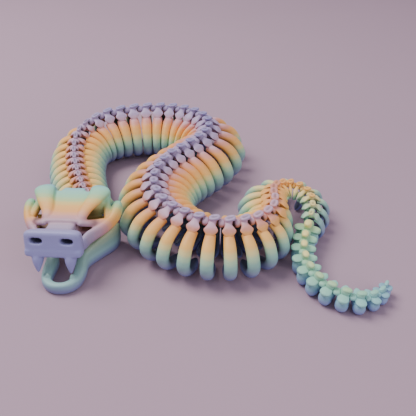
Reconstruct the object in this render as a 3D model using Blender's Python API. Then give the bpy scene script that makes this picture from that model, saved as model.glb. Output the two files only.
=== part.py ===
"""Printed snake-skeleton chain: a skull and lower jaw, then 67 loosely linked vertebrae in one long curve.

Built in metres, Z up, resting on Z = 0. The near side of the pose is -Y, and +X is to its right.
Every profile below is read at the link number counted from the skull, so one table serves the whole chain.
Links 1 to 55 are one solid each. The twelve small links of the tail are joined into three lengths.
"""

import math

import bmesh
import bpy
import numpy as np

MM = 0.001
# Points nearer than the first are one point, and edges shorter than the second vanish, in millimetres.
SAME_POINT = 0.004
SHORTEST_EDGE = 0.002

# The chain. Each pair is (link number from the skull, value), read by linear interpolation.
LINKS = 67
FIRST_CENTRE = (-52.8, 183.7)
FIRST_HEADING = 122.8
TURN_DEG = (
    (0.5, -4.7), (1.5, -4.7), (5.5, -1.2), (9.5, -5.4), (11.5, -18.6), (13.5, -12.4), (16.5, -7.6),
    (19.5, -10.7), (21.5, -17.4), (23.5, -21.2), (25.5, -12.2), (28.5, 5.1), (31.5, 12.7), (36.5, 11.7),
    (41.5, 14.2), (44.5, 19.9), (46.5, -10.9), (48.5, -27.6), (50.5, -30.3), (52.5, -26.7), (55.5, -1.0),
    (58.5, 11.5), (61.5, 17.4), (64.5, 24.4), (67.5, 10.5),
)
PITCH = (
    (2, 4.9), (9, 6.2), (15, 7.6), (21, 6.8), (37, 6.5), (45, 5.8), (50, 4.0), (56, 6.3), (63, 5.9),
    (67, 4.7),
)
HEIGHT = (
    (2, 21.4), (9, 23.4), (14, 28.2), (21, 28.8), (27, 28.2), (33, 27.0), (39, 25.4), (45, 22.8), (49, 19.2),
    (53, 16.8), (57, 12.6), (63, 9.8), (67, 6.2),
)
WIDTH = (
    (2, 24.5), (8, 28.0), (14, 32.0), (20, 35.5), (23, 39.5), (28, 39.5), (33, 35.0), (38, 33.0), (41, 31.5),
    (44, 30.0), (47, 31.5), (49, 30.0), (51, 26.0), (53, 19.5), (55, 14.0), (57, 12.0), (64, 11.0), (67, 6.0),
)
RIBBED_LINKS = 55
STUBS_FROM = 46
# Share of the half width kept on the right of the links that the tail lies against.
BESIDE_TAIL = ((41, 1.0), (43, 0.80), (44, 0.66), (45, 0.58))
# Name, first and last link, and how far its first tongue reaches forward, as a share of the pitch.
TAIL_LENGTHS = (
    ("tail_length_01", 56, 59, 0.52),
    ("tail_length_02", 60, 63, 0.70),
    ("tail_length_03", 64, 67, 0.70),
)

# One ribbed link, as shares of its own pitch, width and height.
JOINT_GAP = 0.45
CROWDING = 0.80
RIB_LENGTH = 0.84
RIB_LENGTH_MOST = 6.2
RIB_DEPTH = 0.145
# From the tip on the floor to the head of the rib: place across, height, shares of the length and depth.
RIB_PATH = (
    (0.12, 0.090, 0.84, 0.80),
    (0.74, 0.108, 1.00, 0.97),
    (1.00, 0.340, 1.00, 1.00),
    (0.80, 0.600, 0.96, 0.92),
    (0.30, 0.715, 0.80, 0.75),
)
THINNEST = 0.25
STUB_PATH = ((1.00, 0.580, 0.60, 0.45), (0.95, 0.660, 0.84, 0.70), (0.45, 0.715, 0.80, 0.75))
# How far a stub reaches from the middle at most, as a share of the width.
STUB_REACH = 0.16
RIB_SECTION = ((-1.0, 0.40), (0.0, 1.0), (1.0, 0.40), (0.0, -0.95))
# Six-sided levels of the vertebra above its ribs, bottom to top: along, across and up for its front, middle
# and back corners. At the waist the front corners run forward as the tongue. At the top the back corners
# carry the pad out over the next link's tongue.
VERTEBRA_LEVELS = (
    ((-0.44, 0.150, 0.790), (0.00, 0.178, 0.765), (0.44, 0.150, 0.790)),
    ((-0.70, 0.040, 0.845), (-0.40, 0.070, 0.850), (0.15, 0.070, 0.850)),
    ((-0.70, 0.036, 0.905), (-0.40, 0.060, 0.915), (0.15, 0.062, 0.915)),
    ((-0.24, 0.048, 0.940), (0.12, 0.062, 0.940), (0.54, 0.046, 0.955)),
    ((-0.20, 0.042, 0.975), (0.20, 0.058, 0.985), (0.62, 0.040, 1.000)),
)
# The same for a tail link, from the floor up: lower body, side horns, tongue and knob.
TAIL_LEVELS = (
    ((-0.32, 0.24, 0.00), (0.00, 0.36, 0.00), (0.32, 0.24, 0.00)),
    ((-0.46, 0.32, 0.26), (0.00, 0.46, 0.27), (0.46, 0.32, 0.26)),
    ((-0.38, 0.24, 0.50), (0.00, 0.38, 0.52), (0.38, 0.24, 0.50)),
    ((-0.22, 0.14, 0.66), (0.04, 0.44, 0.70), (0.26, 0.14, 0.66)),
    ((-0.70, 0.07, 0.72), (-0.40, 0.13, 0.74), (0.15, 0.13, 0.74)),
    ((-0.70, 0.06, 0.82), (-0.40, 0.11, 0.85), (0.15, 0.11, 0.83)),
    ((-0.20, 0.11, 0.90), (0.12, 0.17, 0.91), (0.44, 0.10, 0.91)),
    ((-0.10, 0.06, 0.98), (0.12, 0.10, 1.00), (0.36, 0.06, 0.99)),
)
TONGUE_JOINED = 0.94
WAIST_RELIEF = 0.3
# A level whose front lies beyond this share of the pitch carries the tongue.
TONGUE_FROM = 0.5
# Levels below this share of the height stay inside the link's own wedge.
HOOD_BELOW = 0.88

# The skull and jaw, in millimetres. x runs from the back of the skull to the snout, y to its left, z up.
SKULL_BACK = (-56.2, 180.4)
SKULL_YAW = 7.0
SKULL_ROLL = -3.0
ROLL_HEIGHT = 19.0
JAW_BACK = (-56.0, 180.4)
JAW_YAW = 2.5
# The forehead drops towards the brow: (x, drop), in full at the top of the skull and nothing at its foot.
FOREHEAD = ((3.0, 0.0), (18.0, 4.8), (24.0, 5.0), (28.0, 4.0), (34.0, 2.2))
FOREHEAD_FOOT, FOREHEAD_TOP = 13.0, 25.0
# The face of the snout slopes back from the lip up.
FACE_FROM, FACE_AT, FACE_LEVEL, FACE_SLOPE = 23.0, 34.0, 13.5, 0.30
# x, half width, bottom, top
SNOUT = (
    (33.8, 9.8, 15.2, 23.2),
    (32.4, 11.3, 13.4, 24.6),
    (29.6, 11.2, 13.4, 24.9),
    (27.4, 7.4, 13.6, 24.8),
    (21.0, 5.9, 13.8, 24.6),
)
BRAINCASE = ((22.0, 6.4, 14.0, 24.0), (6.5, 6.0, 14.6, 24.2))
ROOF = (
    (19.4, 8.8, 22.8, 25.7),
    (9.0, 12.4, 22.8, 25.2),
    (4.0, 17.0, 22.8, 25.2),
    (1.2, 13.4, 23.8, 25.6),
)
LIP_SPLAY = 1.07
# x, y, z, half thickness, half height
CREST = ((18.2, 6.8, 25.0, 1.6, 1.1), (1.0, 11.6, 25.8, 3.8, 1.5))
ARCH = (
    (28.0, 9.4, 15.0, 1.3, 3.3),
    (22.0, 10.2, 14.6, 1.5, 3.7),
    (16.5, 15.8, 16.4, 1.7, 2.8),
    (8.0, 19.2, 18.9, 2.2, 3.2),
    (4.2, 18.9, 21.0, 2.1, 1.8),
)
POST_BAR = ((2.6, 14.4, 24.0, 1.4, 1.6), (13.0, 16.4, 17.6, 1.4, 1.8))
# The rim below each eye socket, from the brow to the cheek, and the sockets' floor.
RIM = ((19.6, 7.4, 24.2, 1.2, 1.5), (14.0, 16.6, 17.8, 1.2, 1.6))
SOCKET_FLOOR = ((18.6, 11.0, 14.4, 15.9), (8.4, 16.6, 15.4, 16.9))
FANG_AT = (32.2, 6.6)
FANG = ((14.6, 2.3), (12.0, 2.4), (7.0, 0.4))
FANG_LEAN = 0.2
NOSTRIL = (6.1, 21.0, 2.5, 1.4, 2.4)
NOTCH_AT = (1.4, 6.3)
NOTCH = ((20.0, 1.8), (30.0, 1.8))
JAW_PATH = (
    # x, y, z of the middle, then half thickness and half height
    (4.2, 16.9, 5.8, 1.3, 5.4),
    (10.5, 16.1, 5.8, 1.5, 5.9),
    (23.5, 6.6, 4.1, 2.3, 4.1),
    (30.5, 6.4, 3.1, 2.3, 3.1),
    (35.0, 5.8, 2.6, 2.0, 2.6),
    (37.8, 3.4, 2.5, 1.7, 2.5),
    (38.8, 0.0, 2.5, 1.5, 2.5),
)
JAW_TOOTH_AT = (34.2, 5.2)
JAW_TOOTH = ((4.2, 1.2), (6.8, 0.45))

COLOURS = {
    "skull": (0.56, 0.55, 0.68, 1.0),
    "jaw": (0.40, 0.55, 0.56, 1.0),
    "links": (0.66, 0.60, 0.55, 1.0),
    "tail": (0.45, 0.62, 0.55, 1.0),
}


def read(table, at):
    places, values = zip(*table)
    return float(np.interp(at, places, values))


def clear_scene():
    for obj in list(bpy.data.objects):
        bpy.data.objects.remove(obj, do_unlink=True)


def material(key):
    made = bpy.data.materials.get(key) or bpy.data.materials.new(key)
    made.use_nodes = True
    shader = made.node_tree.nodes["Principled BSDF"]
    shader.inputs["Base Color"].default_value = COLOURS[key]
    shader.inputs["Roughness"].default_value = 0.5
    return made


# ---------------------------------------------------------------- closed shapes


def stacked(rings):
    """Points of equal rings laid one on the other, and the faces between them."""
    sides = len(rings[0])
    faces = []
    for level in range(len(rings) - 1):
        low = level * sides
        for side in range(sides):
            after = (side + 1) % sides
            faces.append((low + side, low + after, low + sides + after, low + sides + side))
    return [point for ring in rings for point in ring], faces


def loft(rings):
    """A closed body through rings of points, capped at both ends."""
    points, faces = stacked(rings)
    sides = len(rings[0])
    faces.append(tuple(range(sides))[::-1])
    faces.append(tuple(range(len(points) - sides, len(points))))
    return np.array(points, float), faces


def mesh_from(name, points, faces):
    mesh = bpy.data.meshes.new(name)
    mesh.from_pydata([tuple(point) for point in points * MM], [], faces)
    body = bmesh.new()
    body.from_mesh(mesh)
    bmesh.ops.recalc_face_normals(body, faces=body.faces)
    bmesh.ops.triangulate(body, faces=body.faces)
    body.to_mesh(mesh)
    body.free()
    return mesh


def add(name, points, faces):
    obj = bpy.data.objects.new(name, mesh_from(name, points, faces))
    bpy.context.scene.collection.objects.link(obj)
    return obj


def fused(name, pieces, cuts=()):
    """One closed body from overlapping pieces, with the cuts taken out of it."""
    base = add(name, *pieces[0])
    helpers = []
    for kind, shapes in (("UNION", pieces[1:]), ("DIFFERENCE", cuts)):
        for shape in shapes:
            helper = add(name + "_helper", *shape)
            helpers.append(helper)
            modifier = base.modifiers.new("join", "BOOLEAN")
            modifier.operation = kind
            modifier.solver = "EXACT"
            modifier.object = helper
    graph = bpy.context.evaluated_depsgraph_get()
    mesh = bpy.data.meshes.new_from_object(base.evaluated_get(graph))
    base.modifiers.clear()
    base.data = mesh
    for helper in helpers:
        bpy.data.objects.remove(helper, do_unlink=True)
    tidy(mesh)
    return base


def tidy(mesh):
    body = bmesh.new()
    body.from_mesh(mesh)
    bmesh.ops.remove_doubles(body, verts=body.verts, dist=SAME_POINT * MM)
    bmesh.ops.dissolve_degenerate(body, edges=body.edges, dist=SHORTEST_EDGE * MM)
    bmesh.ops.triangulate(body, faces=body.faces)
    bmesh.ops.recalc_face_normals(body, faces=body.faces)
    body.to_mesh(mesh)
    body.free()


def finish(obj, key, smooth=True):
    obj.data.materials.clear()
    obj.data.materials.append(material(key))
    for face in obj.data.polygons:
        face.use_smooth = smooth
    return obj


# ---------------------------------------------------------------- the chain


def chain():
    """Every link's centre, heading, pitch, ring size and the turn at its front and back joint."""
    links = []
    heading = math.radians(FIRST_HEADING)
    centre = np.array(FIRST_CENTRE, float)
    for number in range(1, LINKS + 1):
        pitch = read(PITCH, number)
        height = read(HEIGHT, number)
        links.append(
            {
                "number": number,
                "centre": centre.copy(),
                "heading": heading,
                "pitch": pitch,
                "height": height,
                "width": read(WIDTH, number),
                "joint_heights": (read(HEIGHT, number - 0.5), read(HEIGHT, number + 0.5)),
                "turns": tuple(math.radians(read(TURN_DEG, number + end)) for end in (-0.5, 0.5)),
            }
        )
        drop = read(HEIGHT, number + 1) - height
        turned = heading + links[-1]["turns"][1]
        half = 0.5 * math.sqrt(max(pitch**2 - drop**2, 1.0))
        after = 0.5 * read(PITCH, number + 1)
        centre += half * np.array([math.cos(heading), math.sin(heading)])
        centre += after * np.array([math.cos(turned), math.sin(turned)])
        heading = turned
    return links


def placed(link, points):
    """Points given as (along, left, up) in millimetres, moved to where the link lies."""
    points = np.asarray(points, float)
    along = np.array([math.cos(link["heading"]), math.sin(link["heading"]), 0.0])
    left = np.array([-along[1], along[0], 0.0])
    base = np.array([*link["centre"], 0.0])
    up = np.array([0.0, 0.0, 1.0])
    world = base + points[:, :1] * along + points[:, 1:2] * left + points[:, 2:3] * up
    world[:, 2] = np.maximum(world[:, 2], 0.0)
    return world


def room(link, end, side, offset):
    """How far a shape may reach from the link's middle before it meets the next link on that side."""
    turn = link["turns"][end] * side
    reach = 0.5 * link["pitch"] - JOINT_GAP / 2
    return reach - offset * math.tan(max(turn, 0.0) / 2)


def half_width(link, side):
    """The ring's half width on one side, less where the curve leaves no room inside it."""
    sharpest = max(link["turns"][0] * side, link["turns"][1] * side, 1e-3)
    radius = link["pitch"] / (2 * math.tan(sharpest / 2))
    half = link["width"] / 2
    if side < 0 and link["number"] <= BESIDE_TAIL[-1][0]:
        half *= read(BESIDE_TAIL, link["number"])
    return min(half, CROWDING * radius)


def rib_rings(link, side, path):
    """Four-sided sections of one rib from its tip to its head, kept in the wedge between its neighbours."""
    length = min(RIB_LENGTH * link["pitch"], RIB_LENGTH_MOST)
    depth = RIB_DEPTH * link["width"] / 2
    reach = half_width(link, side) - depth
    if path is STUB_PATH:
        reach = min(reach, STUB_REACH * link["width"])
    spots = np.array([(side * across * reach, up * link["height"]) for across, up, _, _ in path])
    tangents = np.gradient(spots, axis=0)
    tangents /= np.linalg.norm(tangents, axis=1)[:, None]
    rings = []
    for spot, tangent, (_, _, long, thick) in zip(spots, tangents, path):
        outward = side * np.array([tangent[1], -tangent[0]])
        ring = []
        for along, out in RIB_SECTION:
            left, up = spot + outward * out * thick * depth
            wedge = max(room(link, 0 if along < 0 else 1, side, abs(left)), THINNEST)
            ring.append((along * min(long * length / 2, wedge), left, up))
        rings.append(ring)
    return rings


def level_ring(link, corners, tongue_reach=None):
    """One six-sided level of a vertebra, from its left front corner round to its right front corner."""
    pitch, width = link["pitch"], link["width"]
    front_height, back_height = link["joint_heights"]
    tongue = corners[0][0] < -TONGUE_FROM
    heights = (front_height, front_height if tongue else link["height"], back_height)
    left = []
    for (along, across, up), height in zip(corners, heights):
        if tongue_reach and along < -TONGUE_FROM:
            along = -tongue_reach
        if tongue and along > 0:
            along -= WAIST_RELIEF * abs(math.sin(link["turns"][1]))
        x, y = along * pitch, across * width
        if not tongue and up < HOOD_BELOW:
            front = min(room(link, 0, 1, y), room(link, 0, -1, y))
            back = min(room(link, 1, 1, y), room(link, 1, -1, y))
            x = max(-front, min(x, back))
        left.append((x, y, up * height))
    return left + [(x, -y, z) for x, y, z in reversed(left)]


def ribbed_link(link):
    """Both ribs and the vertebra as one surface: the vertebra stands on the rib heads' outer corners."""
    points, faces, heads = [], [], []
    for side in (1, -1):
        path = STUB_PATH if side < 0 and link["number"] >= STUBS_FROM else RIB_PATH
        rings = rib_rings(link, side, path)
        first = len(points)
        some, more = stacked(rings)
        points += some
        faces += [tuple(first + corner for corner in face) for face in more]
        sides = len(RIB_SECTION)
        faces.append(tuple(range(first, first + sides)))
        heads.append(range(len(points) - sides, len(points)))
    left, right = heads
    for one, two in ((2, 3), (3, 0)):
        faces.append((left[one], left[two], right[two], right[one]))
    base = [left[0], left[1], left[2], right[2], right[1], right[0]]
    for corners in VERTEBRA_LEVELS:
        first = len(points)
        points += level_ring(link, corners)
        level = list(range(first, first + 6))
        for corner in range(6):
            after = (corner + 1) % 6
            faces.append((base[corner], base[after], level[after], level[corner]))
        base = level
    faces.append(tuple(base))
    name = f"link_{link['number']:02d}"
    return add(name, placed(link, points), faces)


def tail_length(name, links, first_reach):
    """A run of tail links, each tongue reaching into the waist of the link before it."""
    pieces = []
    for index, link in enumerate(links):
        reach = TONGUE_JOINED if index else first_reach
        points, faces = loft([level_ring(link, corners, reach) for corners in TAIL_LEVELS])
        pieces.append((placed(link, points), faces))
    return fused(name, pieces)


# ---------------------------------------------------------------- the head


def head_to_world(points, back, yaw_deg):
    points = np.asarray(points, float)
    yaw = math.radians(yaw_deg)
    forward = np.array([-math.sin(yaw), -math.cos(yaw), 0.0])
    left = np.array([math.cos(yaw), -math.sin(yaw), 0.0])
    base = np.array([*back, 0.0])
    up = np.array([0.0, 0.0, 1.0])
    return base + points[:, :1] * forward + points[:, 1:2] * left + points[:, 2:3] * up


def sloped(points):
    """Drops the forehead towards the brow and slopes the face of the snout."""
    points = np.array(points, float)
    x, z = points[:, 0].copy(), points[:, 2].copy()
    share = np.clip((z - FOREHEAD_FOOT) / (FOREHEAD_TOP - FOREHEAD_FOOT), 0.0, 1.0)
    points[:, 2] -= share * np.interp(x, *zip(*FOREHEAD))
    near = np.clip((x - FACE_FROM) / (FACE_AT - FACE_FROM), 0.0, 1.2)
    points[:, 0] += FACE_SLOPE * near * (FACE_LEVEL - z)
    return points


def in_skull(shape):
    """The skull leans a little about its own length, with its top towards its right."""
    points, faces = shape
    points = sloped(points)
    roll = math.radians(SKULL_ROLL)
    rise = points[:, 2] - ROLL_HEIGHT
    y = points[:, 1] * math.cos(roll) + rise * math.sin(roll)
    z = ROLL_HEIGHT + rise * math.cos(roll) - points[:, 1] * math.sin(roll)
    return head_to_world(np.column_stack([points[:, 0], y, z]), SKULL_BACK, SKULL_YAW), faces


def in_jaw(shape):
    points, faces = shape
    return head_to_world(points, JAW_BACK, JAW_YAW), faces


def box_rings(stations, splay=1.0, corner=0.7):
    """Eight-sided rings across the head from (x, half width, bottom, top), splayed at the foot."""
    rings = []
    for x, y, z0, z1 in stations:
        rise = (1 - corner) / 2 * (z1 - z0)
        side = [(splay * y, z0 + rise), (y, z1 - rise), (corner * y, z1)]
        rings.append([(x, a, b) for a, b in side] + [(x, -a, b) for a, b in reversed(side)])
        rings[-1] += [(x, -corner * y, z0), (x, corner * y, z0)]
    return rings


def side_rings(stations, side, sides=6):
    """Oval rings along a bar beside the head from (x, y, z, half thickness, half height)."""
    spots = np.array([(x, side * y, z) for x, y, z, _, _ in stations])
    tangents = np.gradient(spots, axis=0)
    rings = []
    for spot, tangent, (_, _, _, wide, tall) in zip(spots, tangents, stations):
        across = np.cross(tangent, (0.0, 0.0, 1.0))
        across /= np.linalg.norm(across)
        up = np.cross(across, tangent)
        up /= np.linalg.norm(up)
        ring = []
        for index in range(sides):
            angle = 2 * math.pi * (index + 0.5) / sides
            ring.append(spot + across * math.cos(angle) * wide + up * math.sin(angle) * tall)
        rings.append(ring)
    return rings


def upright(x, y, stations, lean=0.0, sides=5):
    """A round upright spike or pin from (z, radius), which may lean forward below its root."""
    rings = []
    for z, radius in stations:
        middle = x + lean * (stations[0][0] - z)
        angles = [2 * math.pi * index / sides for index in range(sides)]
        rings.append([(middle + radius * math.cos(angle), y + radius * math.sin(angle), z) for angle in angles])
    return loft(rings)


def nostril(side):
    """A rounded slot sunk into the front of the snout."""
    y, z, wide, tall, deep = NOSTRIL
    angles = [math.radians(60 * index + 30) for index in range(6)]
    rings = []
    for x in (SNOUT[0][0] + 0.6, SNOUT[0][0] - deep):
        rings.append([(x, side * y + wide * math.cos(angle), z + tall * math.sin(angle)) for angle in angles])
    return in_skull(loft(rings))


def skull():
    pieces = [in_skull(loft(box_rings(SNOUT, LIP_SPLAY)))]
    pieces += [in_skull(loft(box_rings(rows))) for rows in (BRAINCASE, ROOF, SOCKET_FLOOR)]
    cuts = []
    for side in (1, -1):
        for rows in (CREST, ARCH, POST_BAR, RIM):
            pieces.append(in_skull(loft(side_rings(rows, side))))
        pieces.append(in_skull(upright(FANG_AT[0], side * FANG_AT[1], FANG, FANG_LEAN)))
        cuts.append(nostril(side))
        cuts.append(in_skull(upright(NOTCH_AT[0], side * NOTCH_AT[1], NOTCH)))
    return fused("skull", pieces, cuts)


def lower_jaw():
    mirrored = [(x, -y, z, wide, tall) for x, y, z, wide, tall in JAW_PATH[-2::-1]]
    points, faces = loft(side_rings(list(JAW_PATH) + mirrored, 1))
    points[:, 2] = np.maximum(points[:, 2], 0.0)
    pieces = [in_jaw((points, faces))]
    for side in (1, -1):
        pieces.append(in_jaw(upright(JAW_TOOTH_AT[0], side * JAW_TOOTH_AT[1], JAW_TOOTH)))
    return fused("lower_jaw", pieces)


# ---------------------------------------------------------------- the whole


def centre_on_floor(objects):
    """Puts the middle of the whole outline over the origin, with the lowest point on Z = 0."""
    bpy.context.view_layer.update()
    corners = np.array([obj.matrix_world @ vertex.co for obj in objects for vertex in obj.data.vertices])
    low, high = corners.min(axis=0), corners.max(axis=0)
    shift = np.array([(low[0] + high[0]) / 2, (low[1] + high[1]) / 2, low[2]])
    for obj in objects:
        for vertex in obj.data.vertices:
            vertex.co = np.array(vertex.co) - shift


def build():
    clear_scene()
    links = chain()
    made = [finish(skull(), "skull"), finish(lower_jaw(), "jaw")]
    for link in links[:RIBBED_LINKS]:
        made.append(finish(ribbed_link(link), "links"))
    for name, first, last, reach in TAIL_LENGTHS:
        made.append(finish(tail_length(name, links[first - 1 : last], reach), "tail"))
    centre_on_floor(made)


build()
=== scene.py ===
# %% [markdown]
# # A printed snake skeleton, link by link
#
# The real object is a print-in-place chain: a skull, a lower jaw and sixty-seven small vertebrae that hook
# into one another. It was printed in plastic whose colour drifts from blue through green, yellow and pink to
# lavender, so every link wears the same bands of colour from the floor up.
#
# This lesson rebuilds its looks around a solid model that fixes where everything is. We load that model
# first. The finished surfaces may not grow past it.

import math

import bmesh
import bpy
import numpy as np
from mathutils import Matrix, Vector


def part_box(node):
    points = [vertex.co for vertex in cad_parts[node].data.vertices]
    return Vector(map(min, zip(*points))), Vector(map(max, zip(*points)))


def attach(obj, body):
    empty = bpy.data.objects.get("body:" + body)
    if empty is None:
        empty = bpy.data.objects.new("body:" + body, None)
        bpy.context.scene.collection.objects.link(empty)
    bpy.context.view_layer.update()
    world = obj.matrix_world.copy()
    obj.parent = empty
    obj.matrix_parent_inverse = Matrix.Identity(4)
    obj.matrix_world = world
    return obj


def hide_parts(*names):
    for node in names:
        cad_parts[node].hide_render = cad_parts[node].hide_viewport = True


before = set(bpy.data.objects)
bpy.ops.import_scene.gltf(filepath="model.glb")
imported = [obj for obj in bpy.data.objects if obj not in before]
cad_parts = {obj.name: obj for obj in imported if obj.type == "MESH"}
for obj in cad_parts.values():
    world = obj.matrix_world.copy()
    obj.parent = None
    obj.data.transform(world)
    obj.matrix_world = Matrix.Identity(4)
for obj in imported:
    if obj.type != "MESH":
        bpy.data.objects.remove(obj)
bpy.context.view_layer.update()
MM = 0.001

# %% [markdown]
# ## The camera
#
# The photograph looks down on the model by thirty-five degrees, from just in front of it. A camera could be
# aimed with a constraint, but a fixed place and a fixed turn are easier to read and never change. The focal
# length comes from how quickly the chain shrinks with distance: about 500 pixels in a 416 pixel picture.

# %% Stand the camera
CAMERA_AT = (5.62, -203.5, 140.0)
LOOK_DOWN_DEG = 35.0
FOCAL_PIXELS = 500.0
PICTURE_PIXELS = 416.0
SENSOR_WIDTH = 36.0
NEAREST = 10.0


def stand_camera():
    data = bpy.data.cameras.new("camera")
    data.sensor_width = SENSOR_WIDTH
    data.lens = FOCAL_PIXELS * SENSOR_WIDTH / PICTURE_PIXELS
    data.clip_start = NEAREST * MM
    camera = bpy.data.objects.new("camera", data)
    camera.location = [v * MM for v in CAMERA_AT]
    camera.rotation_euler = (math.radians(90.0 - LOOK_DOWN_DEG), 0.0, 0.0)
    bpy.context.scene.collection.objects.link(camera)
    bpy.context.scene.camera = camera
    return camera


print("lens, mm:", round(stand_camera().data.lens, 2))

# %% [markdown]
# ## The line of the chain
#
# A snake made of links is easiest to describe from the head backwards: each link has a pitch, a height and
# a width, and the chain turns a little at every joint. The tables give those values at a few link numbers
# and we read between them, so the neck, the belly and the tail all come from one rule. The same numbers
# shape the solid model, which is why every surface below lands on its own link.

# %% Tables of the chain
LINKS = 67
RIBBED_LINKS = 55
STUBS_FROM = 46
FIRST_CENTRE = (-47.18, -19.80)
FIRST_HEADING = 122.8
TURN_DEG = (
    (0.5, -4.7), (1.5, -4.7), (5.5, -1.2), (9.5, -5.4), (11.5, -18.6), (13.5, -12.4), (16.5, -7.6),
    (19.5, -10.7), (21.5, -17.4), (23.5, -21.2), (25.5, -12.2), (28.5, 5.1), (31.5, 12.7), (36.5, 11.7),
    (41.5, 14.2), (44.5, 19.9), (46.5, -10.9), (48.5, -27.6), (50.5, -30.3), (52.5, -26.7), (55.5, -1.0),
    (58.5, 11.5), (61.5, 17.4), (64.5, 24.4), (67.5, 10.5),
)
PITCH = (
    (2, 4.9), (9, 6.2), (15, 7.6), (21, 6.8), (37, 6.5), (45, 5.8), (50, 4.0), (56, 6.3), (63, 5.9),
    (67, 4.7),
)
HEIGHT = (
    (2, 21.4), (9, 23.4), (14, 28.2), (21, 28.8), (27, 28.2), (33, 27.0), (39, 25.4), (45, 22.8), (49, 19.2),
    (53, 16.8), (57, 12.6), (63, 9.8), (67, 6.2),
)
WIDTH = (
    (2, 24.5), (8, 28.0), (14, 32.0), (20, 35.5), (23, 39.5), (28, 39.5), (33, 35.0), (38, 33.0), (41, 31.5),
    (44, 30.0), (47, 31.5), (49, 30.0), (51, 26.0), (53, 19.5), (55, 14.0), (57, 12.0), (64, 11.0), (67, 6.0),
)
BESIDE_TAIL = ((41, 1.0), (43, 0.80), (44, 0.66), (45, 0.58))
JOINT_GAP = 0.45
CROWDING = 0.80


def read(table, at):
    places, values = zip(*table)
    return float(np.interp(at, places, values))


def chain():
    links = []
    heading = math.radians(FIRST_HEADING)
    centre = np.array(FIRST_CENTRE, float)
    for number in range(1, LINKS + 1):
        pitch = read(PITCH, number)
        height = read(HEIGHT, number)
        turns = [math.radians(read(TURN_DEG, number + end)) for end in (-0.5, 0.5)]
        links.append(
            {
                "number": number,
                "centre": np.array([*centre, 0.0]),
                "heading": heading,
                "along": np.array([math.cos(heading), math.sin(heading), 0.0]),
                "left": np.array([-math.sin(heading), math.cos(heading), 0.0]),
                "pitch": pitch,
                "height": height,
                "width": read(WIDTH, number),
                "turns": turns,
            }
        )
        drop = read(HEIGHT, number + 1) - height
        turned = heading + turns[1]
        half = 0.5 * math.sqrt(max(pitch**2 - drop**2, 1.0))
        centre += half * np.array([math.cos(heading), math.sin(heading)])
        centre += 0.5 * read(PITCH, number + 1) * np.array([math.cos(turned), math.sin(turned)])
        heading = turned
    return links


links = chain()
low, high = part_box("link_20")
middle = (low + high) / 2 / MM
print("link 20 lies at", np.round(links[19]["centre"][:2], 1))
print("and the middle of its solid at", [round(v, 1) for v in middle[:2]])

# %% [markdown]
# ## How much room a link has
#
# Where the chain bends, the ribs on the inside of the bend crowd together. Each link owns a wedge between
# its two joints, and nothing of it may be longer than that wedge is wide. These two helpers give the half
# length that is free at some distance from the middle line, and the half width of the ring on each side.

# %% Room inside a bend


def room(link, end, left):
    """The free half length towards one end (0 front, 1 back) at a place to the left (+) or right (-)."""
    turn = link["turns"][end] * (1 if left > 0 else -1)
    return 0.5 * link["pitch"] - JOINT_GAP / 2 - abs(left) * math.tan(max(turn, 0.0) / 2)


def half_width(link, side):
    sharpest = max(link["turns"][0] * side, link["turns"][1] * side, 1e-3)
    radius = link["pitch"] / (2 * math.tan(sharpest / 2))
    half = link["width"] / 2
    if side < 0 and link["number"] <= BESIDE_TAIL[-1][0]:
        half *= read(BESIDE_TAIL, link["number"])
    return min(half, CROWDING * radius)


print("half widths of link 23, left and right:", [round(half_width(links[22], side), 1) for side in (1, -1)])

# %% [markdown]
# ## Smooth lines through a few points
#
# Most forms here are bars that bend: ribs, the arches of the skull, the jaw. A maker draws such a bar with a
# few points and lets a spline do the rest. This Catmull-Rom helper passes through every row it is given, and
# the rows may carry more than a place, such as a thickness, so those change smoothly too.

# %% A smooth path helper


def smooth_rows(rows, count):
    """Rows of numbers, read at count even steps along a spline that passes through them."""
    rows = np.asarray(rows, float)
    ends = np.vstack([2 * rows[0] - rows[1], rows, 2 * rows[-1] - rows[-2]])
    made = []
    for at in np.linspace(0, len(rows) - 1 - 1e-9, count):
        index, t = int(at), at - int(at)
        a, b, c, d = ends[index : index + 4]
        bend, twist = 2 * a - 5 * b + 4 * c - d, 3 * b - a - 3 * c + d
        made.append(0.5 * (2 * b + (c - a) * t + bend * t**2 + twist * t**3))
    return np.array(made)


def add_object(name, mesh):
    obj = bpy.data.objects.new(name, mesh)
    bpy.context.scene.collection.objects.link(obj)
    return obj


def attribute(mesh, name, kind, values):
    made = mesh.attributes.new(name, kind, "POINT")
    field = "vector" if kind == "FLOAT_VECTOR" else "value"
    made.data.foreach_set(field, np.asarray(values, np.float32).ravel())


def rows_of(values, field):
    """The vectors that a mesh's points or an attribute hold, as rows."""
    flat = np.empty(len(values) * 3, np.float32)
    values.foreach_get(field, flat)
    return flat.reshape(-1, 3)


print("five points become", len(smooth_rows([(0, 0), (1, 2), (3, 3), (5, 2), (6, 0)], 12)))

# %% [markdown]
# ## Small helpers for node trees
#
# The links and ribs repeat more than a hundred times, so Geometry Nodes make them, and every material is a
# node tree as well. Building a tree in code is a matter of three steps: make the tree, add nodes, and plug
# values into sockets. `put` does the last two at once and hands back the new node's first output. Vector and
# number maths get a one-line form each, so that the rule for a surface can be read almost as a sentence.

# %% Helpers for building trees


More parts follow.
